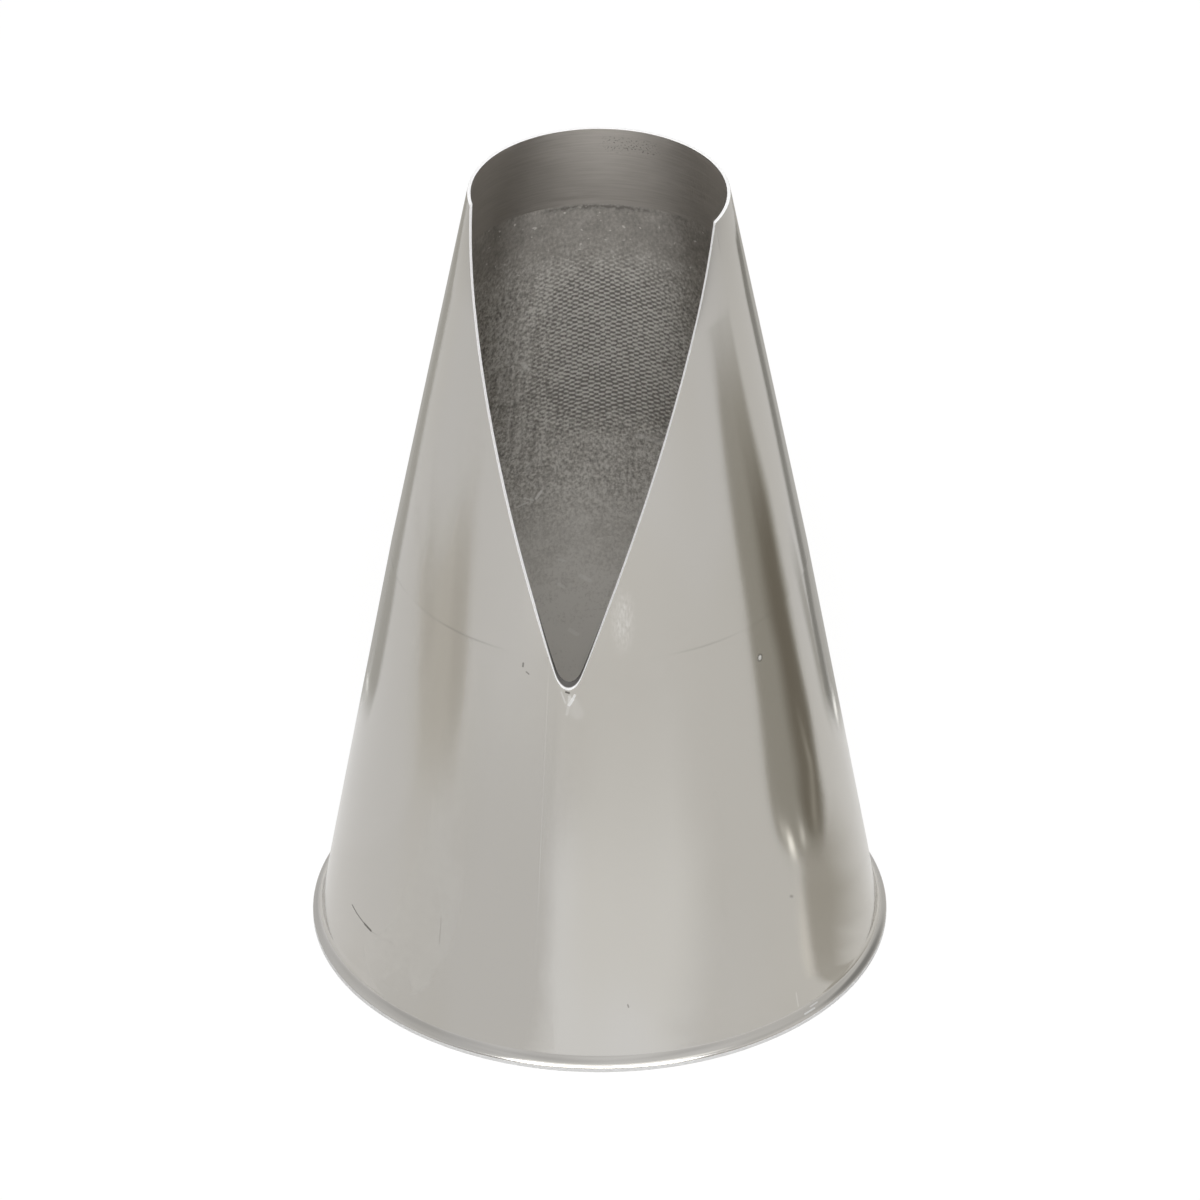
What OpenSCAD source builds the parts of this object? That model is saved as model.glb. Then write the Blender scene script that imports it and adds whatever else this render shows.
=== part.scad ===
// Large piping nozzle with a V notch, drawn from one thin sheet.
// Origin at the centre of the foot, on the surface it stands on; the notch faces -Y.
// The four solids are the forming zones of the one sheet and meet face to face.

/* [Shell] */
// Height from the foot to the mouth
height = 50.2; // [44:0.2:60]
// Outer diameter of the foot
foot_d = 35; // [32:0.5:40]
// Outer diameter of the mouth
mouth_d = 15.3; // [13:0.1:18]
// Thickness of the sheet, square to the wall
wall = 0.25; // [0.2:0.05:0.5]

/* [Drawing ring] */
// Height of the ring where the skirt meets the steeper upper wall
ring_z = 25.8; // [25:0.2:32]
// How far the wall stands out there past a straight cone
ring_bulge = 0.2; // [0:0.05:0.6]

/* [Mouth band] */
// Height of the burnished band inside the mouth
band_h = 5.7; // [3:0.1:8]
// How much the band is thinned from the inside
band_thinning = 0.05; // [0:0.01:0.1]

/* [Foot] */
// How far the foot stands out past the line of the wall
foot_overhang = 0.46; // [0.3:0.02:0.6]
// Radius of the bend above the foot, on the outside
foot_bend_r = 0.8; // [0.7:0.05:1.2]
// Width of the flat ring that the nozzle stands on
foot_land = 0.12; // [0.08:0.02:0.2]

/* [Notch] */
// Height of the notch's lowest point, on the outside of the wall
notch_z = 23.9; // [20:0.1:28]
// Angle between the two sides of the cut
notch_angle = 77; // [50:1:90]
// Slope of the cut, above level
notch_slope = 51.6; // [45:0.2:58]
// Radius at the bottom of the cut
notch_r = 1; // [0.6:0.05:2]

/* [Hidden] */
$fn = 180;

// Radii of the outside of the wall, produced down to the floor, at the ring and at the mouth
floor_r = foot_d / 2 - foot_overhang;
mouth_r = mouth_d / 2;
ring_r = floor_r + (mouth_r - floor_r) * ring_z / height + ring_bulge;
band_z = height - band_h;

// Lean of the skirt from upright, and the sheet's thickness measured level
skirt_lean = atan((floor_r - ring_r) / ring_z);
level_wall = wall / cos(skirt_lean);

// The bend above the foot turns about one centre, which lies on a line beside the skirt's wall.
// Its height leaves a flat ring of the named width where the inside of the bend meets the floor.
inside_bend_r = foot_bend_r + wall;
bend_line_r = floor_r + foot_bend_r / cos(skirt_lean);
line_to_land = bend_line_r - (foot_d / 2 - foot_land);
lean_share = tan(skirt_lean);
bend_z = (line_to_land * lean_share
    + sqrt((1 + lean_share ^ 2) * inside_bend_r ^ 2 - line_to_land ^ 2)) / (1 + lean_share ^ 2);
bend_r = bend_line_r - bend_z * lean_share;

// The sheet's two points at the upper end of the bend
bend_top_outside = [bend_r - foot_bend_r * cos(skirt_lean), bend_z - foot_bend_r * sin(skirt_lean)];
bend_top_inside = [bend_r - inside_bend_r * cos(skirt_lean), bend_z - inside_bend_r * sin(skirt_lean)];

// Radius of the outside of the wall at a height
function wall_r(z) = z < ring_z
    ? floor_r + (ring_r - floor_r) * z / ring_z
    : ring_r + (mouth_r - ring_r) * (z - ring_z) / (height - ring_z);

// Section of the sheet between two heights on one straight stretch of the wall
module wall_section(low, high, thickness) {
    polygon([
        [wall_r(low), low],
        [wall_r(high), high],
        [wall_r(high) - thickness, high],
        [wall_r(low) - thickness, low]
    ]);
}

// Section of the sheet round the bend, cut off at the foot's edge and flat on the floor
module bend_section() {
    difference() {
        intersection() {
            translate([bend_r, bend_z])
                circle(inside_bend_r);
            polygon([
                [bend_r, bend_z],
                bend_top_inside,
                [bend_top_inside[0], 0],
                [foot_d / 2, 0],
                [foot_d / 2, bend_z]
            ]);
        }
        translate([bend_r, bend_z])
            circle(foot_bend_r);
    }
}

// Outline of the cut, seen along it: straight sides tangent to a round bottom
module notch_outline() {
    half = notch_angle / 2;
    side_z = notch_r * (1 - sin(half));
    side_x = notch_r * cos(half);
    mouth_x = side_x + (height - side_z) * tan(half);
    translate([0, notch_r])
        circle(notch_r);
    polygon([[side_x, side_z], [mouth_x, height], [-mouth_x, height], [-side_x, side_z]]);
}

// The straight V cut, which rises through the front wall and stops at the nozzle's axis
module notch_cut() {
    intersection() {
        translate([0, -wall_r(notch_z), notch_z])
            rotate([90 + notch_slope, 0, 0])
                linear_extrude(2 * height, center = true)
                    notch_outline();
        translate([-foot_d / 2, -foot_d / 2, 0])
            cube([foot_d, foot_d / 2, 2 * height]);
    }
}

// Turned-out foot: the bend and the ring that the nozzle stands on
module foot() {
    color("lightgray")
        rotate_extrude()
            bend_section();
}

// Lower cone, from the foot's bend to the drawing ring, with the notch's tip in its upper edge
module skirt() {
    color("silver")
        difference() {
            rotate_extrude()
                polygon([
                    bend_top_outside,
                    [ring_r, ring_z],
                    [ring_r - level_wall, ring_z],
                    bend_top_inside
                ]);
            notch_cut();
        }
}

// Upper cone with the open V notch
module upper_wall() {
    color("gainsboro")
        difference() {
            rotate_extrude()
                wall_section(ring_z, band_z, level_wall);
            notch_cut();
        }
}

// Thinned and burnished band at the mouth, ending in the rim
module mouth_band() {
    color("whitesmoke")
        difference() {
            rotate_extrude()
                wall_section(band_z, height, level_wall - band_thinning);
            notch_cut();
        }
}

foot();
skirt();
upper_wall();
mouth_band();
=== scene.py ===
import math

import bmesh
import bpy
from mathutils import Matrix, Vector


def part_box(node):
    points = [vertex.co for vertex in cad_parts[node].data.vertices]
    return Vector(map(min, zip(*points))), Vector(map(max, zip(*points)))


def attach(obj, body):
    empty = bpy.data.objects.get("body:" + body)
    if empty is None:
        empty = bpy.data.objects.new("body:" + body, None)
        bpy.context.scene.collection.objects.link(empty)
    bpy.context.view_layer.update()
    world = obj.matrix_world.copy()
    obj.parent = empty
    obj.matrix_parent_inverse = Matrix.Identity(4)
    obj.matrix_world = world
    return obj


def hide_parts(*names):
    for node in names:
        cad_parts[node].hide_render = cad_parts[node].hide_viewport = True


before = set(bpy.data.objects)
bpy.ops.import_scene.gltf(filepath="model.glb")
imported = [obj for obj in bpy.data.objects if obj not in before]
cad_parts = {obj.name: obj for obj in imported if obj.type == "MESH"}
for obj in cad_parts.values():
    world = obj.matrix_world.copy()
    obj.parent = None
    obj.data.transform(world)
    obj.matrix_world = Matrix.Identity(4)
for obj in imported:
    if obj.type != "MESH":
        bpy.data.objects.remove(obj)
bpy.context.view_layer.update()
mm = 0.001
print("frame loaded:", ", ".join(sorted(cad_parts)))

# The sheet that the nozzle is drawn from. Heights and radii of the wall come from the frame.
sheet = {
    "wall": 0.25 * mm,
    "bandThinning": 0.05 * mm,
    "bandTaper": 0.6 * mm,  # height over which the thinning comes in
    "bendRadius": 0.8 * mm,
    "columns": 720,  # round the axis
    "bendSteps": 48,
    "smoothAngle": math.radians(32),
    "mergeWithin": 0.0001 * mm,
    "tolerance": 0.001 * mm,  # for telling a seam or a rim by its place
}

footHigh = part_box("foot")[1]
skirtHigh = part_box("skirt")[1]
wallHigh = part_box("upper_wall")[1]
bandLow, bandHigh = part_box("mouth_band")

# Points of the outside of the wall, as (radius, height)
bendTop = Vector((skirtHigh.x, footHigh.z))
drawingRing = Vector((wallHigh.x, skirtHigh.z))
bandStart = Vector((bandHigh.x, bandLow.z))
mouthShare = (bandHigh.z - drawingRing.y) / (bandStart.y - drawingRing.y)
mouthTop = drawingRing + (bandStart - drawingRing) * mouthShare
skirtLean = math.atan2(bendTop.x - drawingRing.x, drawingRing.y - bendTop.y)
levelWall = sheet["wall"] / math.cos(skirtLean)
outward = Vector((math.cos(skirtLean), math.sin(skirtLean)))
bendCentre = bendTop + outward * sheet["bendRadius"]


def wallRadius(height):
    if height < bendTop.y:
        return bendCentre.x - math.sqrt(sheet["bendRadius"] ** 2 - (height - bendCentre.y) ** 2)
    low, high = (bendTop, drawingRing) if height < drawingRing.y else (drawingRing, mouthTop)
    return low.x + (high.x - low.x) * (height - low.y) / (high.y - low.y)


# Modelling helpers

def selectOnly(piece):
    bpy.ops.object.select_all(action="DESELECT")
    piece.select_set(True)
    bpy.context.view_layer.objects.active = piece


def drawOutline(name, points):
    # a plane is merged to one vertex, and that vertex is extruded from point to point
    bpy.ops.object.select_all(action="DESELECT")
    bpy.ops.mesh.primitive_plane_add(size=mm)
    piece = bpy.context.object
    piece.name = name
    bpy.ops.object.mode_set(mode="EDIT")
    bpy.ops.mesh.select_mode(type="VERT")
    bpy.ops.mesh.select_all(action="SELECT")
    bpy.ops.mesh.merge(type="CENTER")
    bpy.ops.transform.translate(value=points[0])
    for here, there in zip(points, points[1:]):
        bpy.ops.mesh.extrude_region_move(TRANSFORM_OT_translate={"value": there - here})
    return piece


def revolve(name, section):
    # the section's points are (radius, height), and it ends where it began
    points = [Vector((radius, 0, height)) for radius, height in section]
    piece = drawOutline(name, points + points[:1])
    bpy.ops.mesh.select_all(action="SELECT")
    bpy.ops.mesh.remove_doubles(threshold=sheet["mergeWithin"])
    bpy.ops.object.mode_set(mode="OBJECT")
    bpy.ops.object.modifier_add(type="SCREW")
    turn = piece.modifiers[-1]
    turn.angle = math.tau
    turn.steps = sheet["columns"]
    turn.render_steps = sheet["columns"]
    turn.use_merge_vertices = True
    turn.merge_threshold = sheet["mergeWithin"]
    bpy.ops.object.modifier_apply(modifier=turn.name)
    bpy.ops.object.mode_set(mode="EDIT")
    bpy.ops.mesh.select_all(action="SELECT")
    bpy.ops.mesh.remove_doubles(threshold=sheet["mergeWithin"])
    bpy.ops.mesh.normals_make_consistent(inside=False)
    bpy.ops.object.mode_set(mode="OBJECT")
    return piece


def arc(centre, radius, start, end, steps):
    turns = [start + (end - start) * step / steps for step in range(steps + 1)]
    return [(centre.x + radius * math.cos(turn), centre.y + radius * math.sin(turn)) for turn in turns]


def paintFaces(piece, materials, choose):
    # choose gets a face's centre and normal and gives the number of its material
    for material in materials:
        piece.data.materials.append(material)
    for face in piece.data.polygons:
        face.material_index = choose(face.center, face.normal)


def turnsIn(centre, normal):
    return centre.x * normal.x + centre.y * normal.y < 0


def roundEdges(piece, width, segments, wanted):
    # wanted gets the two ends of a sharp edge and says whether it is rounded
    bpy.ops.object.mode_set(mode="EDIT")
    bpy.ops.mesh.select_mode(type="EDGE")
    bpy.ops.mesh.select_all(action="DESELECT")
    shape = bmesh.from_edit_mesh(piece.data)
    for edge in shape.edges:
        if edge.calc_face_angle(0) > sheet["smoothAngle"]:
            edge.select_set(wanted(*[end.co for end in edge.verts]))
    bmesh.update_edit_mesh(piece.data)
    bpy.ops.mesh.bevel(offset=width, segments=segments, profile=0.5)
    bpy.ops.object.mode_set(mode="OBJECT")


def finishPiece(piece, node):
    selectOnly(piece)
    bpy.ops.object.shade_smooth_by_angle(angle=sheet["smoothAngle"])
    bpy.ops.object.modifier_add(type="WEIGHTED_NORMAL")  # keeps the wall true beside its rounded edges
    weigh = piece.modifiers[-1]
    weigh.keep_sharp = True
    weigh.weight = 100  # large faces count most
    bpy.ops.object.modifier_apply(modifier=weigh.name)
    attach(piece, "root")
    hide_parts(node)
    print("made", piece.name, len(piece.data.polygons), "faces")


# Materials

# The middle part of a noise's values, which a pattern is mapped from
narrow, middling, wide = (0.4, 0.6), (0.35, 0.65), (0.3, 0.7)


def addNode(tree, kind, **sockets):
    made = tree.nodes.new(kind)
    for name, value in sockets.items():
        made.inputs[name].default_value = value
    return made


def feed(tree, value, socket):
    # a number or a colour is set on the socket, and another node's output is linked to it
    if isinstance(value, bpy.types.NodeSocket):
        tree.links.new(value, socket)
    else:
        socket.default_value = value


def calc(tree, operation, *values):
    made = tree.nodes.new("ShaderNodeMath")
    made.operation = operation
    for value, socket in zip(values, made.inputs):
        feed(tree, value, socket)
    return made.outputs[0]


def blend(tree, share, low, high):
    made = tree.nodes.new("ShaderNodeMix")
    for value, socket in zip((share, low, high), (made.inputs[0], made.inputs[2], made.inputs[3])):
        feed(tree, value, socket)
    return made.outputs[0]


def blendColour(tree, share, low, high):
    made = tree.nodes.new("ShaderNodeMix")
    made.data_type = "RGBA"
    for value, socket in zip((share, low, high), (made.inputs[0], made.inputs[6], made.inputs[7])):
        feed(tree, value, socket)
    return made.outputs[2]


def mapRange(tree, value, low, high, newLow, newHigh, smooth=False):
    made = tree.nodes.new("ShaderNodeMapRange")
    made.interpolation_type = "SMOOTHSTEP" if smooth else "LINEAR"
    for number, socket in zip((value, low, high, newLow, newHigh), made.inputs):
        feed(tree, number, socket)
    return made.outputs[0]


def separate(tree, place):
    made = tree.nodes.new("ShaderNodeSeparateXYZ")
    tree.links.new(place, made.inputs[0])
    return made.outputs


def placeInMm(tree, stretch=(1, 1, 1)):
    # the piece's own coordinates in millimetres, each times its stretch
    coordinates = tree.nodes.new("ShaderNodeTexCoord")
    mapping = tree.nodes.new("ShaderNodeMapping")
    mapping.inputs["Scale"].default_value = [factor / mm for factor in stretch]
    tree.links.new(coordinates.outputs["Object"], mapping.inputs["Vector"])
    return mapping.outputs[0]


def unroll(tree, radius):
    # the inside laid flat, in mm: round the axis from the back at this radius, and up
    x, y, z = separate(tree, placeInMm(tree))
    flat = tree.nodes.new("ShaderNodeCombineXYZ")
    tree.links.new(calc(tree, "MULTIPLY", calc(tree, "ARCTAN2", x, y), radius), flat.inputs[0])
    tree.links.new(z, flat.inputs[1])
    return flat.outputs[0]


def vectorMath(tree, operation, *values, output=0):
    made = tree.nodes.new("ShaderNodeVectorMath")
    made.operation = operation
    for value, socket in zip(values, made.inputs):
        feed(tree, value, socket)
    return made.outputs[output]


def between(tree, value, low, high, soft):
    # 1 between low and high, and 0 past them, with soft ends
    rising = mapRange(tree, value, low - soft, low + soft, 0, 1, smooth=True)
    falling = mapRange(tree, value, high - soft, high + soft, 1, 0, smooth=True)
    return calc(tree, "MULTIPLY", rising, falling)


def noise(tree, place, size, detail=2.0, rough=0.5):
    # size is the width of the noise's features, in the place's own unit
    made = addNode(tree, "ShaderNodeTexNoise", Scale=1 / size, Detail=detail, Roughness=rough)
    tree.links.new(place, made.inputs["Vector"])
    return made.outputs[0]


def addBump(tree, height, distance, under=None):
    made = addNode(tree, "ShaderNodeBump", Strength=1, Distance=distance)
    tree.links.new(height, made.inputs["Height"])
    if under:
        tree.links.new(under, made.inputs["Normal"])
    return made.outputs[0]


def startMetal(name, finish):
    material = bpy.data.materials.new(name)
    material.use_nodes = True
    tree = material.node_tree
    shader = tree.nodes["Principled BSDF"]
    shader.inputs["Metallic"].default_value = finish["metallic"]
    return material, tree, shader


polish = {
    "metallic": 1.0,
    "colour": (0.605, 0.589, 0.562, 1),
    "handledColour": (0.583, 0.563, 0.523, 1),
    "handledSize": 11,  # sizes in mm
    "roughness": (0.09, 0.15),
    "smudgeSize": 5,
    "smudgeStretch": (1, 1, 0.3),
    "wave": 0.02 * mm,
    "waveSize": 9,
    "draw": 0.001 * mm,  # fine upright lines left by the drawing
    "drawSize": 0.6,
    "drawStretch": (1, 1, 0.03),
    "darkMark": (0.10, 0.095, 0.085, 1),
    "paintedHighlightColour": (0.95, 0.95, 0.94, 1),
    "markRoughness": 0.35,
    "markSoft": (0.6, 1.3),  # where a mark starts to fade and where it ends, in half widths
    "ring": (25.74, 25.86),  # a faint dark line round the wall at the ring, broken in places
    "ringSoft": 0.05,
    "ringShare": 0.2,
    "highlightPatchPlace": (3.1, -11.6, 28.2),  # painted highlight: a pale speckled patch beside the notch
    "highlightPatchStretch": (1.9, 1, 0.62),
    "highlightPatchReach": (0.2, 1.7),
    "highlightPatchSize": 0.11,
    "highlightPatchRange": (0.35, 0.75),
    "highlightPatchShare": 0.6,
    "highlightPatchColour": (0.9, 0.89, 0.87, 1),
}

# Marks, each from one place to another on the wall, as (across, up), then its half width, all in mm, and
# how strong it is: dark scratches and specks outside, painted highlights, and pale marks on the back
# inside.
darkMarks = [
    ((-13.8, 4.5), (-13.4, 4.35), 0.045, 0.8),
    ((-13.4, 4.35), (-12.8, 4.25), 0.04, 0.8),
    ((-12.8, 4.25), (-12.3, 4.2), 0.08, 0.8),
    ((-12.2, 4.2), (-10.7, 4.5), 0.03, 0.25),
    ((-2.7, 25.2), (-2.72, 25.0), 0.06, 0.55),
    ((-2.5, 24.7), (-2.35, 24.6), 0.05, 0.45),
    ((4.0, 4.0), (4.05, 3.85), 0.05, 0.45),
    ((12.8, 8.0), (12.9, 7.9), 0.09, 0.3),
    ((-7.5, 7.7), (-7.6, 6.0), 0.03, 0.25),
    ((-0.1, 23.78), (0.08, 23.74), 0.06, 0.85),
    ((10.6, 23.62), (10.6, 23.58), 0.22, 0.75),
]
# Painted highlights: bright strokes on the foot's lip and just under the notch's tip, and the middle of
# the dot beside the notch
paintedHighlightMarks = [
    ((10.6, 23.62), (10.6, 23.58), 0.14, 1.0),
    ((13.9, 0.36), (14.4, 0.36), 0.05, 0.7),
    ((14.15, 0.5), (14.5, 0.5), 0.04, 0.5),
    ((13.5, 0.9), (13.35, 1.8), 0.05, 0.3),
    ((0.42, 23.62), (0.3, 23.35), 0.08, 0.8),
    ((0.3, 23.35), (0.1, 23.0), 0.11, 0.8),
    ((0.12, 23.5), (0.12, 23.1), 0.1, 0.45),
    ((0.1, 23.0), (-0.02, 22.4), 0.09, 0.25),
    ((-0.38, 23.75), (-0.12, 23.1), 0.05, 0.4),
    ((0.3, 23.1), (0.6, 22.5), 0.4, 0.12),
]
insideMarks = [
    ((-5.7, 21.6), (-5.4, 22.1), 0.1, 0.9),
    ((-6.8, 21.2), (-6.2, 21.4), 0.08, 0.6),
    ((-6.4, 21.8), (-5.9, 21.5), 0.07, 0.6),
    ((-3.2, 14.9), (-2.7, 14.5), 0.16, 0.5),
    ((-4.0, 10.5), (-3.6, 10.1), 0.16, 0.4),
    ((-4.6, 14.4), (-4.3, 14.1), 0.12, 0.4),
    ((-4.5, 16.4), (-4.2, 16.2), 0.1, 0.4),
    ((-6.1, 32.6), (-5.8, 32.2), 0.1, 0.5),
    ((0.6, 26.4), (2.6, 25.9), 0.2, 0.35),
]


def onWall(across, up, side):
    # side is -1 for the front of the wall and 1 for its back
    radius = wallRadius(up * mm) / mm
    return Vector((across, side * math.sqrt(radius**2 - across**2), up))


def stroke(tree, place, mark, side):
    start, end, width, share = mark
    start, end = onWall(*start, side), onWall(*end, side)
    way = end - start
    offset = vectorMath(tree, "SUBTRACT", place, start)
    along = vectorMath(tree, "DOT_PRODUCT", offset, way, output=1)
    along = calc(tree, "DIVIDE", along, way.length_squared)
    along.node.use_clamp = True
    nearest = vectorMath(tree, "MULTIPLY", way, along)
    distance = vectorMath(tree, "DISTANCE", offset, nearest, output=1)
    solid, gone = [width * part for part in polish["markSoft"]]
    return mapRange(tree, distance, solid, gone, share, 0, smooth=True)


def allStrokes(tree, place, marks, side=-1):
    total = 0.0
    for mark in marks:
        total = calc(tree, "MAXIMUM", total, stroke(tree, place, mark, side))
    return total


def makePolishedSteel():
    material, tree, shader = startMetal("polished_outside", polish)
    upright = placeInMm(tree, polish["smudgeStretch"])
    drawn = placeInMm(tree, polish["drawStretch"])
    handled = mapRange(tree, noise(tree, upright, polish["handledSize"]), *narrow, 0, 1, smooth=True)
    colour = blendColour(tree, handled, polish["colour"], polish["handledColour"])
    place = placeInMm(tree)
    ring = between(tree, separate(tree, place)[2], *polish["ring"], polish["ringSoft"])
    ringStrength = mapRange(tree, noise(tree, place, polish["smudgeSize"]), *narrow, 0, polish["ringShare"])
    dark = calc(tree, "MAXIMUM", allStrokes(tree, place, darkMarks), calc(tree, "MULTIPLY", ring, ringStrength))
    # painted highlights
    highlightShare = allStrokes(tree, place, paintedHighlightMarks)
    colour = blendColour(tree, dark, colour, polish["darkMark"])
    # painted highlight: a pale speckled patch beside the notch
    offset = vectorMath(tree, "SUBTRACT", place, polish["highlightPatchPlace"])
    offset = vectorMath(tree, "MULTIPLY", offset, polish["highlightPatchStretch"])
    away = vectorMath(tree, "LENGTH", offset, output=1)
    reach = mapRange(tree, away, *polish["highlightPatchReach"], 1, 0, smooth=True)
    speckle = noise(tree, upright, polish["highlightPatchSize"], detail=3)
    speckle = mapRange(tree, speckle, *polish["highlightPatchRange"], 0, polish["highlightPatchShare"])
    brushedAndHighlight = calc(tree, "MULTIPLY", reach, speckle)
    colour = blendColour(tree, brushedAndHighlight, colour, polish["highlightPatchColour"])
    tree.links.new(blendColour(tree, highlightShare, colour, polish["paintedHighlightColour"]), shader.inputs["Base Color"])
    smudge = noise(tree, upright, polish["smudgeSize"], detail=5, rough=0.6)
    roughness = mapRange(tree, smudge, *wide, *polish["roughness"])
    marked = calc(tree, "MAXIMUM", dark, highlightShare)
    tree.links.new(blend(tree, marked, roughness, polish["markRoughness"]), shader.inputs["Roughness"])
    waves = addBump(tree, noise(tree, upright, polish["waveSize"], detail=1), polish["wave"])
    lines = addBump(tree, noise(tree, drawn, polish["drawSize"], detail=3), polish["draw"], waves)
    tree.links.new(lines, shader.inputs["Normal"])
    return material


mattFinish = {
    "metallic": 0.25,
    "sideMetallic": 0.92,
    "sideMiddle": -1.5,  # the sides are smoother metal than this middle, in mm from the back's own
    "sideAcross": (3.0, 6.5),
    "darkColour": (0.27, 0.255, 0.235, 1),
    "colour": (0.53, 0.505, 0.47, 1),
    "paleColour": (0.84, 0.82, 0.78, 1),
    "markColour": (1, 0.99, 0.96, 1),
    "roughness": (0.45, 0.6),
    "middleRadius": 8.5,  # sizes and places in mm, from here on
    "columnPitch": 0.27,
    "dashPitch": 0.34,
    "dashRange": (-0.3, 0.6),
    "dashTone": (-0.6, 0.75),
    "dashRise": (-0.5, 0.8),
    "wander": 0.3,
    "wanderSize": 1.0,
    "printedAcross": (-3.9, 2.5),  # from the middle of the back
    "printedAcrossSoft": 2.3,
    "printedUp": (27.5, 39.5),
    "printedUpSoft": 2.3,
    "tone": 0.6,  # 0 is the dark colour, 0.5 the middle one and 1 the pale one
    "grainTone": (-0.62, 0.62),
    "grainSize": 0.19,
    "grainStretch": (1, 1, 0.7),
    "grainedUp": (21, 40),  # the grain is weaker below and above these heights
    "grainedSoft": 3,
    "weakGrain": 0.35,
    "paintedLightTone": 0.5,  # painted light: how much paler the inside is below the heights that follow, where light through the notch falls
    "paintedLightUp": (10, 25),
    "darkTone": -0.13,  # a darker belt half way up
    "darkUp": (27, 30.5),
    "darkSoft": 1.5,
    "topTone": -0.2,
    "topUp": (40, 42.5),
    "seamTone": -0.5,  # the broken dark line where the burnished band begins
    "seamUp": (44.15, 44.4),
    "seamUpSoft": 0.12,
    "seamAcross": (-4.3, 1.8),
    "seamAcrossSoft": 1,
    "seamRange": (0.35, 0.6),
    "blotchSize": 1.6,
    "blotchTone": (-0.08, 0.08),
    "fleckSize": 0.35,
    "fleckRange": (0.7, 0.76),
    "fleckTone": 0.8,
    "streakSize": 0.3,
    "streakStretch": (1, 0.05, 1),
    "streakRange": (0.35, 0.7),
    "streakTone": (-0.15, 0.3),
    "streakedAcross": (-8, -3.2),
    "streakedAcrossSoft": 1,
    "streakedUp": (24, 38),
    "streakedUpSoft": 3,
    "grain": 0.006 * mm,
    "dash": 0.006 * mm,
}


def printedDashes(tree, flat):
    # the press leaves columns of short dashes, and each column is half a step off its neighbours
    finish = mattFinish
    shift = calc(tree, "SUBTRACT", noise(tree, flat, finish["wanderSize"], detail=1), 0.5)
    across, up, _ = separate(tree, flat)
    across = calc(tree, "MULTIPLY_ADD", shift, finish["wander"], across)
    columns = calc(tree, "COSINE", calc(tree, "MULTIPLY", across, math.pi / finish["columnPitch"]))
    rows = calc(tree, "COSINE", calc(tree, "MULTIPLY", up, math.tau / finish["dashPitch"]))
    return calc(tree, "MULTIPLY", columns, rows)


def sideMetal(tree, across, finish):
    aside = calc(tree, "ABSOLUTE", calc(tree, "SUBTRACT", across, finish["sideMiddle"]))
    return mapRange(
        tree, aside, *finish["sideAcross"], finish["metallic"], finish["sideMetallic"], smooth=True
    )


def outwardOfWall(tree):
    # from the inside of the wall to its outside, level, in mm
    away = vectorMath(tree, "NORMALIZE", placeInMm(tree, (1, 1, 0)))
    return vectorMath(tree, "MULTIPLY", away, [levelWall / mm] * 3)


def patch(tree, across, up, finish, name):
    # 1 in one part of the inside laid flat, with soft sides
    return calc(
        tree, "MULTIPLY",
        between(tree, across, *finish[name + "Across"], finish[name + "AcrossSoft"]),
        between(tree, up, *finish[name + "Up"], finish[name + "UpSoft"]),
    )


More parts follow.
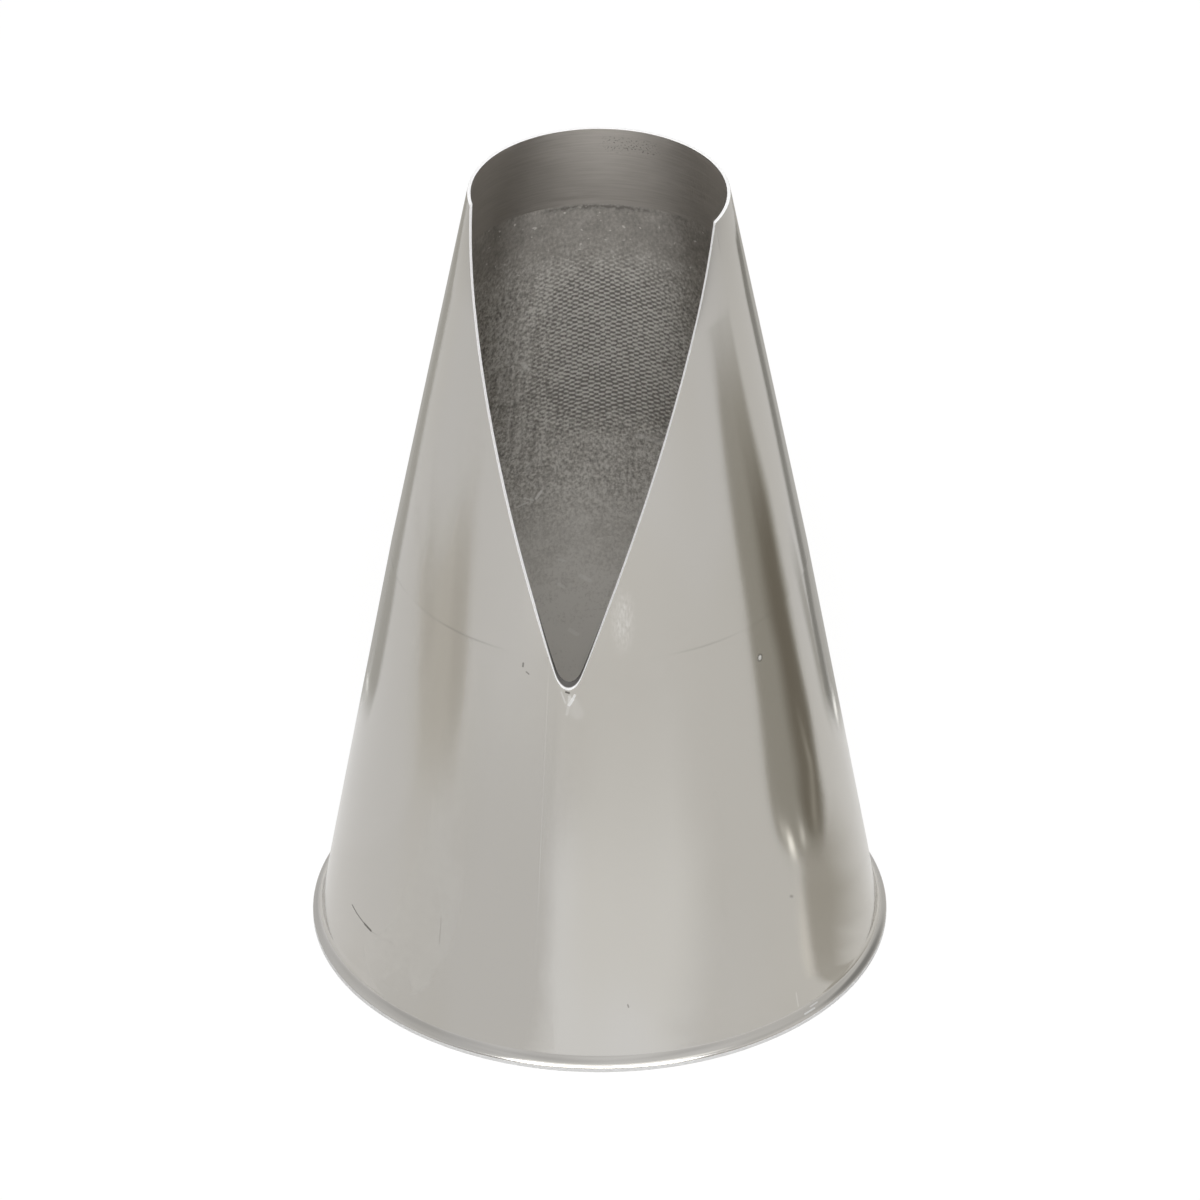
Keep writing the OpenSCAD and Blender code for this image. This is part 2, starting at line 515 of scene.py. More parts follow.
def makeMattSteel():
    finish = mattFinish
    material, tree, shader = startMetal("matt_inside", finish)
    flat = unroll(tree, finish["middleRadius"])
    across, up, _ = separate(tree, flat)
    grain = noise(tree, placeInMm(tree, finish["grainStretch"]), finish["grainSize"], detail=3, rough=0.7)
    grained = mapRange(tree, grain, *wide, *finish["grainTone"])
    coarse = between(tree, up, *finish["grainedUp"], finish["grainedSoft"])
    coarse = mapRange(tree, coarse, 0, 1, finish["weakGrain"], 1)
    tone = calc(tree, "MULTIPLY_ADD", grained, coarse, finish["tone"])
    blotch = noise(tree, flat, finish["blotchSize"], detail=3)
    tone = calc(tree, "ADD", tone, mapRange(tree, blotch, *middling, *finish["blotchTone"]))
    # painted light: paler low down inside, where light through the notch falls
    tone = calc(tree, "ADD", tone, mapRange(tree, up, *finish["paintedLightUp"], finish["paintedLightTone"], 0))
    top = mapRange(tree, up, *finish["topUp"], 0, finish["topTone"], smooth=True)
    tone = calc(tree, "ADD", tone, top)
    belt = between(tree, up, *finish["darkUp"], finish["darkSoft"])
    tone = calc(tree, "MULTIPLY_ADD", belt, finish["darkTone"], tone)
    fleck = noise(tree, flat, finish["fleckSize"], detail=1)
    broken = mapRange(tree, fleck, *finish["seamRange"], 0, finish["seamTone"])
    tone = calc(tree, "MULTIPLY_ADD", patch(tree, across, up, finish, "seam"), broken, tone)
    printed = patch(tree, across, up, finish, "printed")
    dashes = printedDashes(tree, flat)
    dashTone = mapRange(tree, dashes, *finish["dashRange"], *finish["dashTone"])
    tone = calc(tree, "MULTIPLY_ADD", dashTone, printed, tone)
    stretched = vectorMath(tree, "MULTIPLY", flat, finish["streakStretch"])
    streak = noise(tree, stretched, finish["streakSize"], detail=3)
    streak = mapRange(tree, streak, *finish["streakRange"], *finish["streakTone"])
    tone = calc(tree, "MULTIPLY_ADD", streak, patch(tree, across, up, finish, "streaked"), tone)
    flecks = mapRange(tree, fleck, *finish["fleckRange"], 0, finish["fleckTone"])
    tone = calc(tree, "ADD", tone, flecks)
    low = blendColour(tree, mapRange(tree, tone, 0, 0.5, 0, 1), finish["darkColour"], finish["colour"])
    high = blendColour(tree, mapRange(tree, tone, 0.5, 1, 0, 1), low, finish["paleColour"])
    onOutside = vectorMath(tree, "ADD", placeInMm(tree), outwardOfWall(tree))
    marked = allStrokes(tree, onOutside, insideMarks, side=1)
    tree.links.new(blendColour(tree, marked, high, finish["markColour"]), shader.inputs["Base Color"])
    tree.links.new(mapRange(tree, grain, *wide, *finish["roughness"]), shader.inputs["Roughness"])
    tree.links.new(sideMetal(tree, across, finish), shader.inputs["Metallic"])
    grainBump = addBump(tree, grain, finish["grain"])
    dashHeight = calc(tree, "MULTIPLY", mapRange(tree, dashes, *finish["dashRise"], 0, 1), printed)
    tree.links.new(addBump(tree, dashHeight, finish["dash"], grainBump), shader.inputs["Normal"])
    return material


burnish = {
    "metallic": 0.4,
    "sideMetallic": 0.86,
    "sideMiddle": -0.6,
    "sideAcross": (1.2, 6.2),
    "middleRadius": 7.6,
    "colour": (0.445, 0.42, 0.385, 1),
    "paleColour": (0.52, 0.49, 0.455, 1),
    "roughness": (0.35, 0.5),
    "speckColour": (0.12, 0.11, 0.1, 1),
    "speckSize": 0.13,
    "speckRange": (0.56, 0.66),
    "speckShare": 0.75,
    "speckedAcross": (-0.8, 2.3),  # a few pits near the rim, from the middle of the back, in mm
    "speckedAcrossSoft": 0.6,
    "speckedUp": (48.5, 49.6),
    "speckedUpSoft": 0.3,
    "brushSize": 0.12,
    "brushStretch": (0.05, 0.05, 1),
    "brush": 0.002 * mm,
}


def makeBurnishedSteel():
    material, tree, shader = startMetal("burnished_band", burnish)
    brushedAndHighlight = placeInMm(tree, burnish["brushStretch"])
    brush = noise(tree, brushedAndHighlight, burnish["brushSize"], detail=3, rough=0.6)
    pale = mapRange(tree, brush, *middling, 0, 1)
    colour = blendColour(tree, pale, burnish["colour"], burnish["paleColour"])
    tree.links.new(mapRange(tree, brush, *wide, *burnish["roughness"]), shader.inputs["Roughness"])
    flat = unroll(tree, burnish["middleRadius"])
    across, up, _ = separate(tree, flat)
    speck = noise(tree, flat, burnish["speckSize"], detail=2)
    speck = mapRange(tree, speck, *burnish["speckRange"], 0, burnish["speckShare"])
    specked = calc(tree, "MULTIPLY", patch(tree, across, up, burnish, "specked"), speck)
    colour = blendColour(tree, specked, colour, burnish["speckColour"])
    tree.links.new(colour, shader.inputs["Base Color"])
    tree.links.new(sideMetal(tree, across, burnish), shader.inputs["Metallic"])
    tree.links.new(addBump(tree, brush, burnish["brush"]), shader.inputs["Normal"])
    return material


cutFinish = {
    "metallic": 0.1,
    # painted highlight: the cut face is near white, paler in patches
    "colour": (0.93, 0.925, 0.92, 1),
    "paleColour": (1.0, 1.0, 1.0, 1),
    "innerShadowColour": (0.10, 0.095, 0.09, 1),
    "innerShadowShare": (0.2, 0.72),  # painted shadow: where the dark inner edge starts, at the notch's tip and higher up
    "innerShadowSoft": 0.18,
    "innerShadowUp": (24.5, 29),
    "rimUp": (49.6, 50.1),  # the rim is pale over its whole width
    "footUp": (0.6, 1.2),  # painted shade: the foot's outer edge is a little darker than the rest of the cut face
    "footShade": 0.25,
    "roughness": (0.3, 0.45),
    "filingSize": 0.15,
}


def depthInSheet(tree):
    # 0 on the outside of the wall and 1 on its inside
    x, y, z = separate(tree, placeInMm(tree))
    radius = calc(tree, "SQRT", calc(tree, "MULTIPLY_ADD", x, x, calc(tree, "MULTIPLY", y, y)))
    lines = []
    for low, high in ((bendTop, drawingRing), (drawingRing, mouthTop)):
        slope = (high.x - low.x) / (high.y - low.y)
        lines.append(calc(tree, "MULTIPLY_ADD", z, slope, (low.x - slope * low.y) / mm))
    wall = calc(tree, "MINIMUM", *lines)
    return calc(tree, "DIVIDE", calc(tree, "SUBTRACT", wall, radius), levelWall / mm)


def makeCutEdge():
    material, tree, shader = startMetal("cut_edge", cutFinish)
    # painted highlight: the near-white cut face
    filing = noise(tree, placeInMm(tree), cutFinish["filingSize"], detail=3)
    pale = mapRange(tree, filing, *middling, 0, 1)
    paleCutHighlight = blendColour(tree, pale, cutFinish["colour"], cutFinish["paleColour"])
    up = separate(tree, placeInMm(tree))[2]
    # painted shadow along the inner edge of the cut face, none on the rim
    start = mapRange(tree, up, *cutFinish["innerShadowUp"], *cutFinish["innerShadowShare"])
    start = calc(tree, "ADD", start, mapRange(tree, up, *cutFinish["rimUp"], 0, 1))
    end = calc(tree, "ADD", start, cutFinish["innerShadowSoft"])
    inner = mapRange(tree, depthInSheet(tree), start, end, 0, 1, smooth=True)
    footShade = mapRange(tree, up, *cutFinish["footUp"], cutFinish["footShade"], 0)
    dark = calc(tree, "MAXIMUM", inner, footShade)
    tree.links.new(blendColour(tree, dark, paleCutHighlight, cutFinish["innerShadowColour"]), shader.inputs["Base Color"])
    tree.links.new(mapRange(tree, filing, *wide, *cutFinish["roughness"]), shader.inputs["Roughness"])
    return material


outsideSteel = makePolishedSteel()
insideSteel = makeMattSteel()
bandSteel = makeBurnishedSteel()
edgeSteel = makeCutEdge()
print("materials made")

# Tool that cuts the V notch: its outline stands square to the cut and is pushed through the wall
notch = {
    "tipHeight": 23.9 * mm,
    "angle": math.radians(77),
    "slope": math.radians(51.6),
    "tipRadius": 1.0 * mm,
    "tipSteps": 36,
    "outlineHeight": 45 * mm,
    "startBefore": 12 * mm,
    "reach": 55 * mm,
    "edgeRounding": 0.025 * mm,
    "roundingSteps": 2,
    "roundedBelowTip": 1.0 * mm,
}


def notchTool():
    half = notch["angle"] / 2
    cutLine = Vector((0, math.cos(notch["slope"]), math.sin(notch["slope"])))
    outlineUp = Vector((0, -math.sin(notch["slope"]), math.cos(notch["slope"])))
    tip = Vector((0, -wallRadius(notch["tipHeight"]), notch["tipHeight"]))
    radius = notch["tipRadius"]
    bottom = arc(Vector((0, radius)), radius, math.pi + half, math.tau - half, notch["tipSteps"])
    side, rise = bottom[-1]
    topSide = side + (notch["outlineHeight"] - rise) * math.tan(half)
    outline = [(-topSide, notch["outlineHeight"]), *bottom, (topSide, notch["outlineHeight"])]
    corner = tip - cutLine * notch["startBefore"]
    points = [corner + Vector((across, 0, 0)) + outlineUp * up for across, up in outline]
    tool = drawOutline("notch_tool", points + points[:1])
    bpy.ops.mesh.select_all(action="SELECT")
    bpy.ops.mesh.remove_doubles(threshold=sheet["mergeWithin"])
    bpy.ops.mesh.select_all(action="SELECT")
    bpy.ops.mesh.edge_face_add()
    bpy.ops.mesh.extrude_region_move(TRANSFORM_OT_translate={"value": cutLine * notch["reach"]})
    bpy.ops.mesh.select_all(action="SELECT")
    bpy.ops.mesh.bisect(plane_co=(0, 0, 0), plane_no=(0, 1, 0), clear_outer=True, use_fill=True)
    bpy.ops.mesh.select_all(action="SELECT")
    bpy.ops.mesh.normals_make_consistent(inside=False)
    bpy.ops.object.mode_set(mode="OBJECT")
    tool.data.materials.append(edgeSteel)
    return tool


def cutNotch(piece, tool):
    selectOnly(piece)
    bpy.ops.object.modifier_add(type="BOOLEAN")
    cut = piece.modifiers[-1]
    cut.operation = "DIFFERENCE"
    cut.solver = "EXACT"
    cut.material_mode = "TRANSFER"
    cut.object = tool
    bpy.ops.object.modifier_apply(modifier=cut.name)


tool = notchTool()

# Foot: the sheet turns out through a bend and ends in the flat ring that it stands on
footPiece = {
    "topRounding": 0.07 * mm,
    "roundingSteps": 4,
    "landHeight": 0.05 * mm,  # edges below it belong to the flat ring and stay sharp
    "edgeDepth": 0.02 * mm,
}
insideBend = sheet["bendRadius"] + sheet["wall"]
bendStart = math.pi + skirtLean
footEdge = footHigh.x
upperEnd = math.pi + math.acos((bendCentre.x - footEdge) / sheet["bendRadius"])
lowerEnd = math.pi + math.asin(bendCentre.y / insideBend)
section = arc(bendCentre, sheet["bendRadius"], bendStart, upperEnd, sheet["bendSteps"])
section.append((footEdge, 0))
section += arc(bendCentre, insideBend, lowerEnd, bendStart, sheet["bendSteps"])
foot = revolve("turned_out_foot", section)


def onFootRim(a, b):
    level = abs(a.z - b.z) < sheet["tolerance"] and a.z > footPiece["landHeight"]
    return level and min(a.xy.length, b.xy.length) > footEdge - sheet["tolerance"]


def footFinish(centre, normal):
    if turnsIn(centre, normal):
        return 1
    return 2 if centre.xy.length > footEdge - footPiece["edgeDepth"] else 0


roundEdges(foot, footPiece["topRounding"], footPiece["roundingSteps"], onFootRim)
paintFaces(foot, [outsideSteel, insideSteel, edgeSteel], footFinish)
finishPiece(foot, "foot")


def coneZone(name, low, high, lowInside, highInside):
    return revolve(name, [low, high, highInside, lowInside])


level = Vector((levelWall, 0))
thinned = Vector((levelWall - sheet["bandThinning"], 0))
thinnedFrom = bandStart + (mouthTop - bandStart) * sheet["bandTaper"] / (mouthTop.y - bandStart.y)
bendTopInside = bendTop - outward * sheet["wall"]
skirt = coneZone("lower_cone", bendTop, drawingRing, bendTopInside, drawingRing - level)
upper = coneZone("notched_cone", drawingRing, bandStart, drawingRing - level, bandStart - level)
mouth = revolve("burnished_mouth", [
    bandStart, mouthTop, mouthTop - thinned, thinnedFrom - thinned, bandStart - level
])
seams = [bendTop.y, drawingRing.y, bandStart.y]


def onSeam(height):
    return min(abs(height - seam) for seam in seams) < sheet["tolerance"]


def roundedHere(a, b):
    # cut edges and the mouth's rim are rounded, and the faces where two zones meet aren't
    below = max(a.z, b.z) < notch["tipHeight"] - notch["roundedBelowTip"]
    return not below and not (onSeam(a.z) and onSeam(b.z))


def wallFinish(centre, normal):
    if turnsIn(centre, normal):
        return 1
    return 2 if centre.z > mouthTop.y - sheet["tolerance"] else 0


for piece, inner, node in (
    (skirt, insideSteel, "skirt"), (upper, insideSteel, "upper_wall"), (mouth, bandSteel, "mouth_band")
):
    paintFaces(piece, [outsideSteel, inner, edgeSteel], wallFinish)
    cutNotch(piece, tool)
    roundEdges(piece, notch["edgeRounding"], notch["roundingSteps"], roundedHere)
    finishPiece(piece, node)

selectOnly(tool)
bpy.ops.object.delete()

# Studio: pale floor, pale surroundings, one softbox overhead, and a stronger one in front that only
# lights and isn't mirrored. The mirrored levels below are what the foot's bend and the rim show.
studio = {
    "floorSize": 4.0,
    "floorColour": (0.785, 0.778, 0.767),
    "whiteShare": (0.75, 1),  # how much of the floor is plain white to the camera, near by and far off
    "whiteReach": (120, 500),  # in mm
    "whiteLevel": 1.1,
    "skySeen": 1.0,
    "skyLight": 0.25,
    "frontMirrored": 0.82,  # low down on the notch's side
    "frontDirections": (-1.0, -0.6),
    "skylineMirrored": 0.77,
    "skylineHeight": math.sin(math.radians(14)),
    "horizonMirrored": 0.63,
    "highSkyMirrored": 0.72,
    "highSkyHeights": (math.sin(math.radians(22)), math.sin(math.radians(72))),
    "cloudSize": 0.7,  # soft upright unevenness of the mirrored surroundings
    "cloudStretch": (1, 1, 0.3),
    "clouds": (0.9, 1.14),
    "darkDirection": (0.511, 0.651, 0.56),  # a dark doorway behind on the right
    "darkReach": (math.cos(math.radians(21)), math.cos(math.radians(4))),
    "darkMirrored": 0.32,
}

lamps = {
    "overhead_softbox": {
        "width": 0.45, "depth": 0.5, "power": 4.0, "distance": 1.0,
        "rise": math.radians(92), "side": math.radians(6), "mirrored": True,
    },
    "front_softbox": {
        "width": 0.5, "depth": 0.5, "power": 9.8, "distance": 1.4,
        "rise": math.radians(48), "side": math.radians(8), "mirrored": False,
    },
}


def litBy(tree, names):
    # 1 where the ray is one of the named kinds
    path = tree.nodes.new("ShaderNodeLightPath")
    total = 0.0
    for name in names:
        total = calc(tree, "MAXIMUM", total, path.outputs[name])
    return total


def mixShaders(tree, share, low, high):
    # both shaders meet in the material's surface, and share is how much of the second is seen
    both = tree.nodes.new("ShaderNodeMixShader")
    out = tree.nodes.new("ShaderNodeOutputMaterial")
    tree.links.new(share, both.inputs[0])
    tree.links.new(low.outputs[0], both.inputs[1])
    tree.links.new(high.outputs[0], both.inputs[2])
    tree.links.new(both.outputs[0], out.inputs["Surface"])


def makeFloor():
    bpy.ops.object.select_all(action="DESELECT")
    bpy.ops.mesh.primitive_plane_add(size=studio["floorSize"])
    floor = bpy.context.object
    floor.name = "floor"
    material = bpy.data.materials.new("pale_floor")
    material.use_nodes = True
    tree = material.node_tree
    tree.nodes.clear()
    diffuse = addNode(tree, "ShaderNodeBsdfDiffuse", Color=(*studio["floorColour"], 1))
    white = addNode(tree, "ShaderNodeEmission", Color=(1, 1, 1, 1), Strength=studio["whiteLevel"])
    away = vectorMath(tree, "LENGTH", placeInMm(tree), output=1)
    whiter = mapRange(tree, away, *studio["whiteReach"], *studio["whiteShare"], smooth=True)
    mixShaders(tree, calc(tree, "MULTIPLY", litBy(tree, ["Is Camera Ray"]), whiter), diffuse, white)
    floor.data.materials.append(material)


def makeSky():
    world = bpy.data.worlds.new("pale_studio")
    bpy.context.scene.world = world
    world.use_nodes = True
    tree = world.node_tree
    background = tree.nodes["Background"]
    background.inputs["Color"].default_value = (1, 1, 1, 1)
    seen = litBy(tree, ["Is Camera Ray"])
    mirrored = litBy(tree, ["Is Glossy Ray", "Is Transmission Ray"])
    direction = tree.nodes.new("ShaderNodeTexCoord").outputs["Generated"]
    _, back, rise = separate(tree, direction)
    horizon = mapRange(
        tree, back, *studio["frontDirections"],
        studio["frontMirrored"], studio["horizonMirrored"], smooth=True,
    )
    above = mapRange(
        tree, rise, 0, studio["skylineHeight"], studio["skylineMirrored"], horizon, smooth=True
    )
    high = studio["highSkyMirrored"]
    sky = mapRange(tree, rise, *studio["highSkyHeights"], above, high, smooth=True)
    flattened = vectorMath(tree, "MULTIPLY", direction, studio["cloudStretch"])
    clouds = noise(tree, flattened, studio["cloudSize"], detail=1)
    sky = calc(tree, "MULTIPLY", sky, mapRange(tree, clouds, *middling, *studio["clouds"]))
    towards = vectorMath(tree, "DOT_PRODUCT", direction, studio["darkDirection"], output=1)
    doorway = mapRange(tree, towards, *studio["darkReach"], 0, 1, smooth=True)
    sky = blend(tree, doorway, sky, studio["darkMirrored"])
    level = blend(tree, mirrored, studio["skyLight"], sky)
    level = blend(tree, seen, level, studio["skySeen"])
    tree.links.new(level, background.inputs["Strength"])


def addLamp(name, box):
    rise, side = box["rise"], box["side"]
    away = Vector((math.sin(side) * math.cos(rise), -math.cos(side) * math.cos(rise), math.sin(rise)))
    data = bpy.data.lights.new(name, "AREA")
    data.shape = "RECTANGLE"
    data.size = box["width"]
    data.size_y = box["depth"]
    data.energy = box["power"]
    lamp = bpy.data.objects.new(name, data)
    bpy.context.scene.collection.objects.link(lamp)
    lamp.location = away * box["distance"]
    lamp.rotation_euler = (-away).to_track_quat("-Z", "Y").to_euler()
    lamp.visible_camera = False
    lamp.visible_glossy = box["mirrored"]


# Cards lie just over the floor round the nozzle, apart from the strip that hangs overhead, and only
# mirrored rays see them, as soft bands. Sizes are in mm. A card goes from row to row: each row has
# its left and right end as the camera sees them mirrored, how soft each end is, and how much the
# card covers there.
cards = {
    "dark_card_right": {
        "height": 0.10,
        "colour": (0.41, 0.395, 0.355),
        "rows": [
            ((170, 50), (131, 74), 30, 14, 0.0),
            ((166, 30), (122, 66), 26, 10, 0.3),
            ((157, 5), (106, 55), 20, 10, 0.9),
            ((132, -2), (79, 50), 15, 9, 1.0),
            ((105, -3), (62, 36), 10, 7, 1.0),
            ((75, -5), (46, 24), 7, 4, 1.0),
            ((55, -8), (35, 13), 4, 3, 1.0),
            ((47, -7), (33, 7), 4, 3, 1.0),
            ((41, -5), (33, 2), 4, 3, 0.0),
        ],
    },
    "darker_card_right": {
        "height": 0.15,
        "colour": (0.21, 0.19, 0.155),
        "rows": [
            ((122, 42), (110, 53), 18, 6, 0.0),
            ((92, 20), (82, 45), 18, 6, 0.9),
            ((70, 17), (64, 32), 12, 5, 1.0),
            ((49, 8), (45.5, 22.5), 8, 4, 0.9),
            ((44, 5), (37, 12.5), 5, 2.5, 1.0),
            ((39.5, 4), (34.5, 9), 3, 2, 0.9),
            ((37, 3), (33.5, 6), 2, 1.5, 0.0),
        ],
    },
    "pale_streak_right": {
        "height": 0.20,
        "colour": (0.47, 0.445, 0.39),
        "rows": [
            ((56, 19), (54, 21), 3, 3, 0.0),
            ((44, 13.5), (42.5, 15), 1.6, 1.6, 0.8),
            ((38.5, 7), (37.5, 8.5), 1, 1, 0.9),
            ((36, 4), (35, 5), 1, 1, 0.0),
        ],
    },
    "pale_streak_beside_foot": {
        "height": 0.20,
        "colour": (0.92, 0.90, 0.86),
        "rows": [
            ((38, -3.5), (36, -1.5), 1.5, 1.5, 0.0),
            ((33.5, -5), (32, -3.2), 1.5, 1.5, 0.5),
            ((28.5, -6.8), (27, -5), 1.5, 1.5, 0.7),
            ((23, -8), (22, -6.5), 1.3, 1.3, 0.8),
            ((19.5, -8.6), (18.8, -7.4), 1, 1, 0.5),
        ],
    },
    "left_spark": {
        "height": 0.20,
        "colour": (1.3, 1.28, 1.22),
        "rows": [
            ((50, -5.2), (48, -3.6), 1, 1, 0.0),
            ((46.8, -5), (45.2, -3.6), 0.9, 0.9, 0.7),
            ((44, -4.8), (43, -3.9), 0.6, 0.6, 0.0),
        ],
    },
    "middle_spark": {
        "height": 0.20,
        "colour": (2.2, 2.18, 2.1),
        "rows": [
            ((46, -3), (44, -1.4), 1, 1, 0.0),
            ((43.6, -3.2), (41.4, -1.6), 1.1, 1.1, 1.0),
            ((41.6, -3.4), (40, -2), 1, 1, 1.0),
            ((40.2, -3.2), (39.2, -2.4), 0.6, 0.6, 0.0),
        ],
    },
    "right_spark": {
        "height": 0.20,
        "colour": (1.5, 1.48, 1.42),
        "rows": [
            ((43, 3), (42.2, 3.8), 0.6, 0.6, 0.0),
            ((40.6, 1.4), (39.5, 2.5), 0.8, 0.8, 0.9),
            ((38.8, 0.2), (38, 1), 0.5, 0.5, 0.0),
        ],
    },
    "grey_card_behind": {
        "height": 0.05,
        "colour": (0.50, 0.49, 0.465),
        "rows": [
            ((-60, 130), (50, 130), 8, 8, 1.0),
            ((-56, 74), (40, 88), 6, 6, 1.0),
            ((-46, 50), (32, 62), 4, 4, 1.0),
            ((-36, 32), (29, 40), 4, 4, 1.0),
            ((-28, 23), (23, 28), 3, 3, 1.0),
            ((-23, 18), (18, 22), 3, 3, 0.0),
        ],
    },
    "dark_strip_behind_left": {
        "height": 0.10,
        "colour": (0.46, 0.45, 0.42),
        "rows": [
            ((-105, 115), (-66, 120), 8, 8, 1.0),
            ((-77, 69), (-50, 73), 6, 6, 1.0),
            ((-63, 55), (-45, 58), 5, 6, 1.0),
            ((-57, 43), (-43, 46), 4, 6, 1.0),
            ((-49, 27), (-35, 32), 4, 4, 1.0),
            ((-41, 19), (-30, 24), 3, 3, 1.0),
            ((-35, 15), (-25, 19), 3, 3, 0.0),
        ],
    },
    "thin_strip_right": {
        "height": 0.10,
        "colour": (0.45, 0.44, 0.41),
        "rows": [
            ((56, 49), (50, 57), 4, 4, 0.0),
            ((48, 42), (43, 49), 4, 4, 0.6),
            ((40, 35), (36, 41), 4, 4, 0.8),
            ((33, 27), (29, 33), 4, 4, 0.8),
            ((28, 21), (25, 26), 3, 3, 0.0),
        ],
    },
    "dark_strip_behind_right": {
        "height": 0.10,
        "colour": (0.28, 0.275, 0.255),
        "rows": [
            ((46, 120), (76, 120), 8, 6, 1.0),
            ((34, 85), (57, 88), 8, 5, 1.0),
            ((29, 69), (46, 72), 8, 4, 1.0),
            ((29, 56), (41, 58), 7, 4, 1.0),
            ((28, 40), (36, 43), 4, 3, 1.0),
            ((24, 28), (32, 31), 3, 3, 1.0),
            ((21, 23), (28, 25), 3, 3, 0.0),
        ],
    },
    "grey_card_left": {
        "height": 0.05,
        "colour": (0.67, 0.65, 0.61),
        "rows": [
            ((-50, 62), (-140, -40), 24, 30, 0.0),
            ((-66, 40), (-130, -52), 20, 26, 0.7),
            ((-80, 24), (-115, -55), 16, 14, 1.0),
            ((-80, 10), (-95, -54), 14, 9, 1.0),
            ((-74, 0), (-73, -48), 12, 6, 1.0),
            ((-62, -11), (-60, -41), 8, 6, 0.7),
            ((-50, -12), (-48, -38), 6, 8, 0.2),
            ((-36, -4), (-32, -30), 6, 8, 0.22),
            ((-24, 4), (-20, -19), 4, 6, 0.22),
            ((-19, 5), (-15, -14), 2, 4, 0.2),
        ],
    },
    "darker_card_left": {
        "height": 0.10,
        "colour": (0.58, 0.56, 0.52),
        "rows": [
            ((-128, -5), (-128, -45), 20, 12, 0.0),
            ((-112, -27), (-114, -50), 10, 6, 0.7),
            ((-95, -33), (-96, -50), 8, 5, 0.9),
            ((-71, -34), (-72, -45), 5, 4, 0.7),
            ((-58, -30), (-59, -38), 4, 4, 0.0),
        ],
    },
    "second_dark_card_left": {
        "height": 0.10,
        "colour": (0.60, 0.58, 0.54),
        "rows": [
            ((-92, 42), (-98, 22), 12, 12, 0.0),
            ((-90, 12), (-96, -4), 8, 8, 0.7),
            ((-80, 0), (-84, -12), 6, 6, 0.8),
            ((-66, -8), (-68, -18), 5, 5, 0.0),
        ],
    },
    "brown_card_beside_foot": {
        "height": 0.05,
        "colour": (0.49, 0.47, 0.425),
        "rows": [
            ((44, 6), (26, 22), 8, 12, 0.0),
            ((38, 0), (26, 10), 4, 15, 0.8),
            ((33.5, -3), (22.5, 5.5), 3, 12, 0.95),
            ((28.5, -5), (20.5, 1), 2.5, 9, 0.85),
            ((24, -6.5), (19.5, -2), 2, 5, 0.8),
            ((20.5, -7.3), (18, -4), 1.5, 3, 0.7),
            ((18.3, -7.2), (17.6, -3.4), 1.2, 2.5, 0.7),
            ((16.6, -6.6), (16.2, -3.4), 1, 2, 0.6),
        ],
    },
    "pale_card_in_front": {
        "height": 0.05,
        "colour": (0.95, 0.95, 0.95),
        "rows": [
            ((14, -124), (91, -85), 34, 38, 0.0),
            ((12, -106), (78, -73), 30, 34, 0.3),
            ((6, -86), (64, -57), 24, 30, 0.5),
            ((-12, -66), (45, -40), 12, 26, 0.85),
            ((-8, -50), (32, -33), 8, 20, 0.9),
            ((-6, -41), (24, -28), 6, 16, 0.95),
            ((-4, -32), (16, -23), 5, 12, 1.0),
            ((-2, -19), (9.5, -17.5), 3, 6, 1.0),
        ],
    },
    "grey_card_in_front": {
        "height": 0.05,
        "colour": (0.735, 0.727, 0.71),
        "rows": [
            ((-80, -75), (-22, -128), 34, 12, 0.0),
            ((-66, -52), (-17, -103), 28, 10, 0.6),
            ((-52, -40), (-15, -81), 24, 8, 0.9),
            ((-40, -30), (-12, -60), 20, 7, 1.0),
            ((-27, -20), (-7.5, -41), 14, 5, 1.0),
            ((-22, -16), (-5, -32), 10, 4, 1.0),
            ((-16, -11), (-2, -19.5), 8, 3, 0.8),
        ],
    },
    "strip_overhead": {
        "height": 1000,
        "colour": (1.3, 1.3, 1.28),
        "rows": [
            ((-260, -330), (330, -300), 160, 300, 0.0),
            ((-260, -240), (420, -200), 160, 300, 1.0),
            ((-260, 150), (480, 0), 160, 300, 1.0),
            ((-260, 290), (480, 120), 160, 300, 0.0),
        ],
    },
    "left_glint": {
        "height": 0.20,
        "colour": (1.6, 1.6, 1.55),
        "rows": [
            ((-33, 19), (-29, 22), 1, 1, 0.0),
            ((-31, 21), (-27, 23), 1, 1, 1.0),
            ((-29, 23), (-25, 25), 1, 1, 0.0),
        ],
    },
    "right_glint": {
        "height": 0.20,
        "colour": (1.6, 1.6, 1.55),
        "rows": [
            ((21, 30), (24, 28), 1, 1, 0.0),
            ((21, 28), (23, 26), 1, 1, 1.0),
            ((20, 26), (22, 24), 1, 1, 0.0),
        ],
    },
}


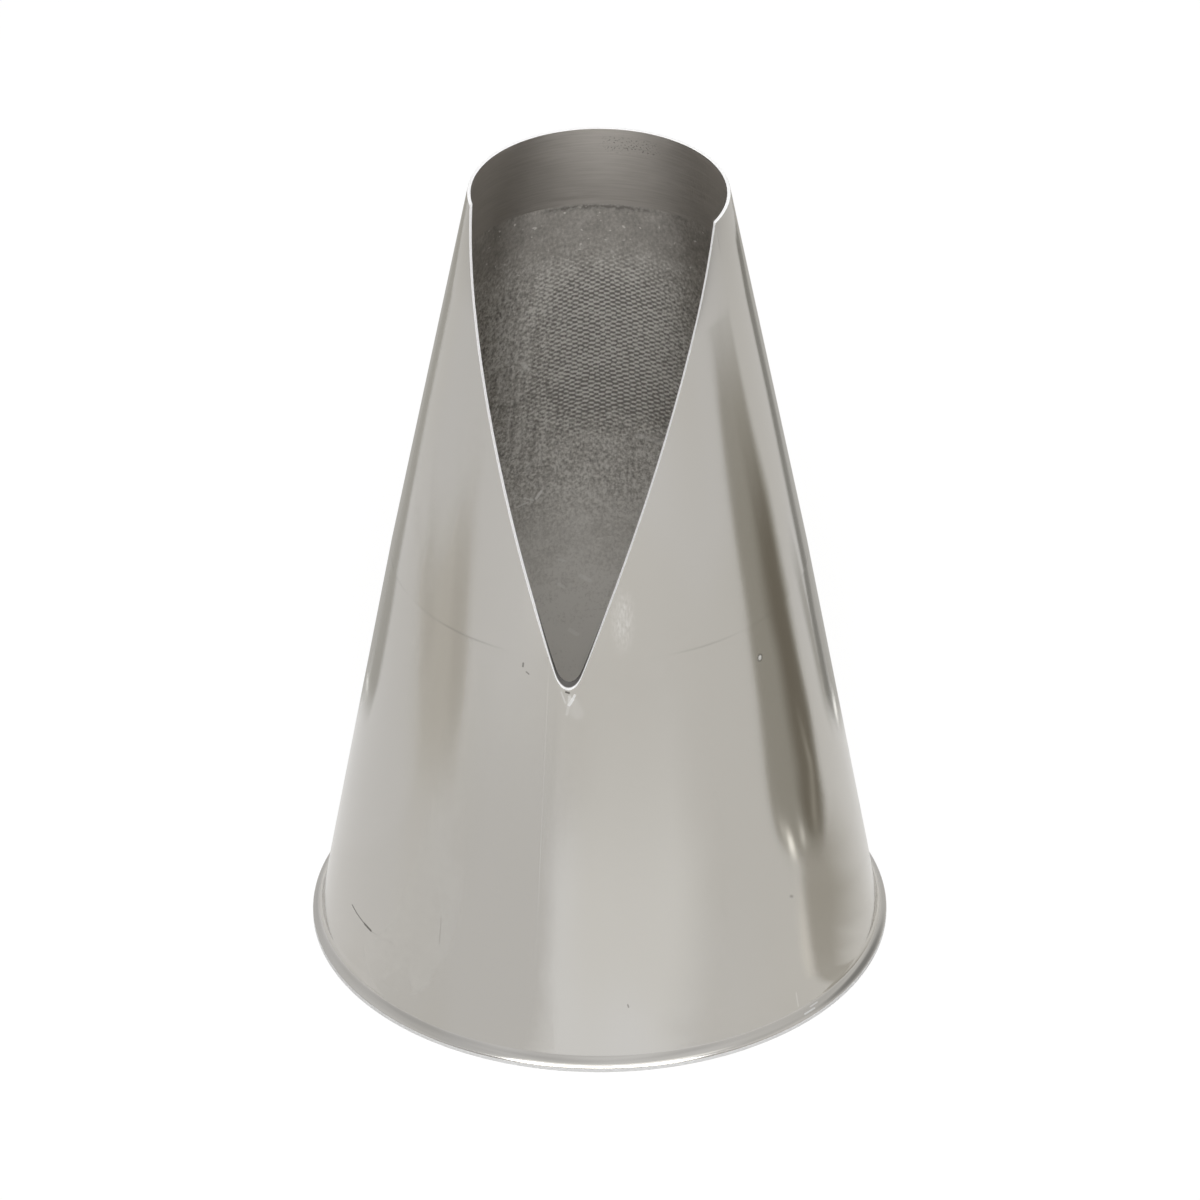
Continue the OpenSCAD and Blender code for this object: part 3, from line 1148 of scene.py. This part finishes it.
def layCard(name, card):
    places, covers = [], []
    for left, right, leftSoft, rightSoft, strength in card["rows"]:
        left, right = Vector((*left, card["height"])), Vector((*right, card["height"]))
        across = (right - left).normalized()
        places += [left - across * leftSoft / 2, left + across * leftSoft / 2]
        places += [right - across * rightSoft / 2, right + across * rightSoft / 2]
        covers += [0, strength, strength, 0]
    bpy.ops.object.select_all(action="DESELECT")
    bpy.ops.mesh.primitive_grid_add(x_subdivisions=3, y_subdivisions=len(card["rows"]) - 1)
    piece = bpy.context.object
    piece.name = name
    cover = piece.data.attributes.new("cover", "FLOAT", "POINT")
    for corner, place, share in zip(piece.data.vertices, places, covers, strict=True):
        corner.co = place * mm
        cover.data[corner.index].value = share
    material = bpy.data.materials.new(name)
    material.use_nodes = True
    material.cycles.emission_sampling = "NONE"
    tree = material.node_tree
    tree.nodes.clear()
    fade = tree.nodes.new("ShaderNodeAttribute")
    fade.attribute_name = "cover"
    clear = tree.nodes.new("ShaderNodeBsdfTransparent")
    paper = addNode(tree, "ShaderNodeEmission", Color=(*card["colour"], 1))
    mixShaders(tree, mapRange(tree, fade.outputs["Fac"], 0, 1, 0, 1, smooth=True), clear, paper)
    piece.data.materials.append(material)
    for kind in ("camera", "diffuse", "transmission", "volume_scatter", "shadow"):
        setattr(piece, "visible_" + kind, False)


makeFloor()
makeSky()
for name, box in lamps.items():
    addLamp(name, box)
for name, card in cards.items():
    layCard(name, card)
print("studio made")

# Camera at the photograph's viewing angle
view = {
    "azimuth": math.radians(8.36),
    "elevation": math.radians(32.52),
    "distance": 532 * mm,
    "aimHeight": 22.115 * mm,
    "aimAside": 0.038 * mm,
    "lens": 267.2,
    "sensor": 36,
    "roll": -0.0012,
    "nearest": 0.01,
    "farthest": 50,
}


def makeCamera():
    around, rise = view["azimuth"], view["elevation"]
    back = Vector((
        math.sin(around) * math.cos(rise), -math.cos(around) * math.cos(rise), math.sin(rise)
    ))
    aside = Vector((math.cos(around), math.sin(around), 0)) * view["aimAside"]
    data = bpy.data.cameras.new("camera")
    data.lens = view["lens"]
    data.sensor_width = view["sensor"]
    data.clip_start = view["nearest"]
    data.clip_end = view["farthest"]
    camera = bpy.data.objects.new("camera", data)
    bpy.context.scene.collection.objects.link(camera)
    camera.location = back * view["distance"] + Vector((0, 0, view["aimHeight"])) + aside
    turn = (-back).to_track_quat("-Z", "Y").to_euler()
    turn.rotate_axis("Z", view["roll"])
    camera.rotation_euler = turn
    bpy.context.scene.camera = camera


makeCamera()
bpy.context.scene.view_settings.view_transform = "Standard"
print("camera placed")
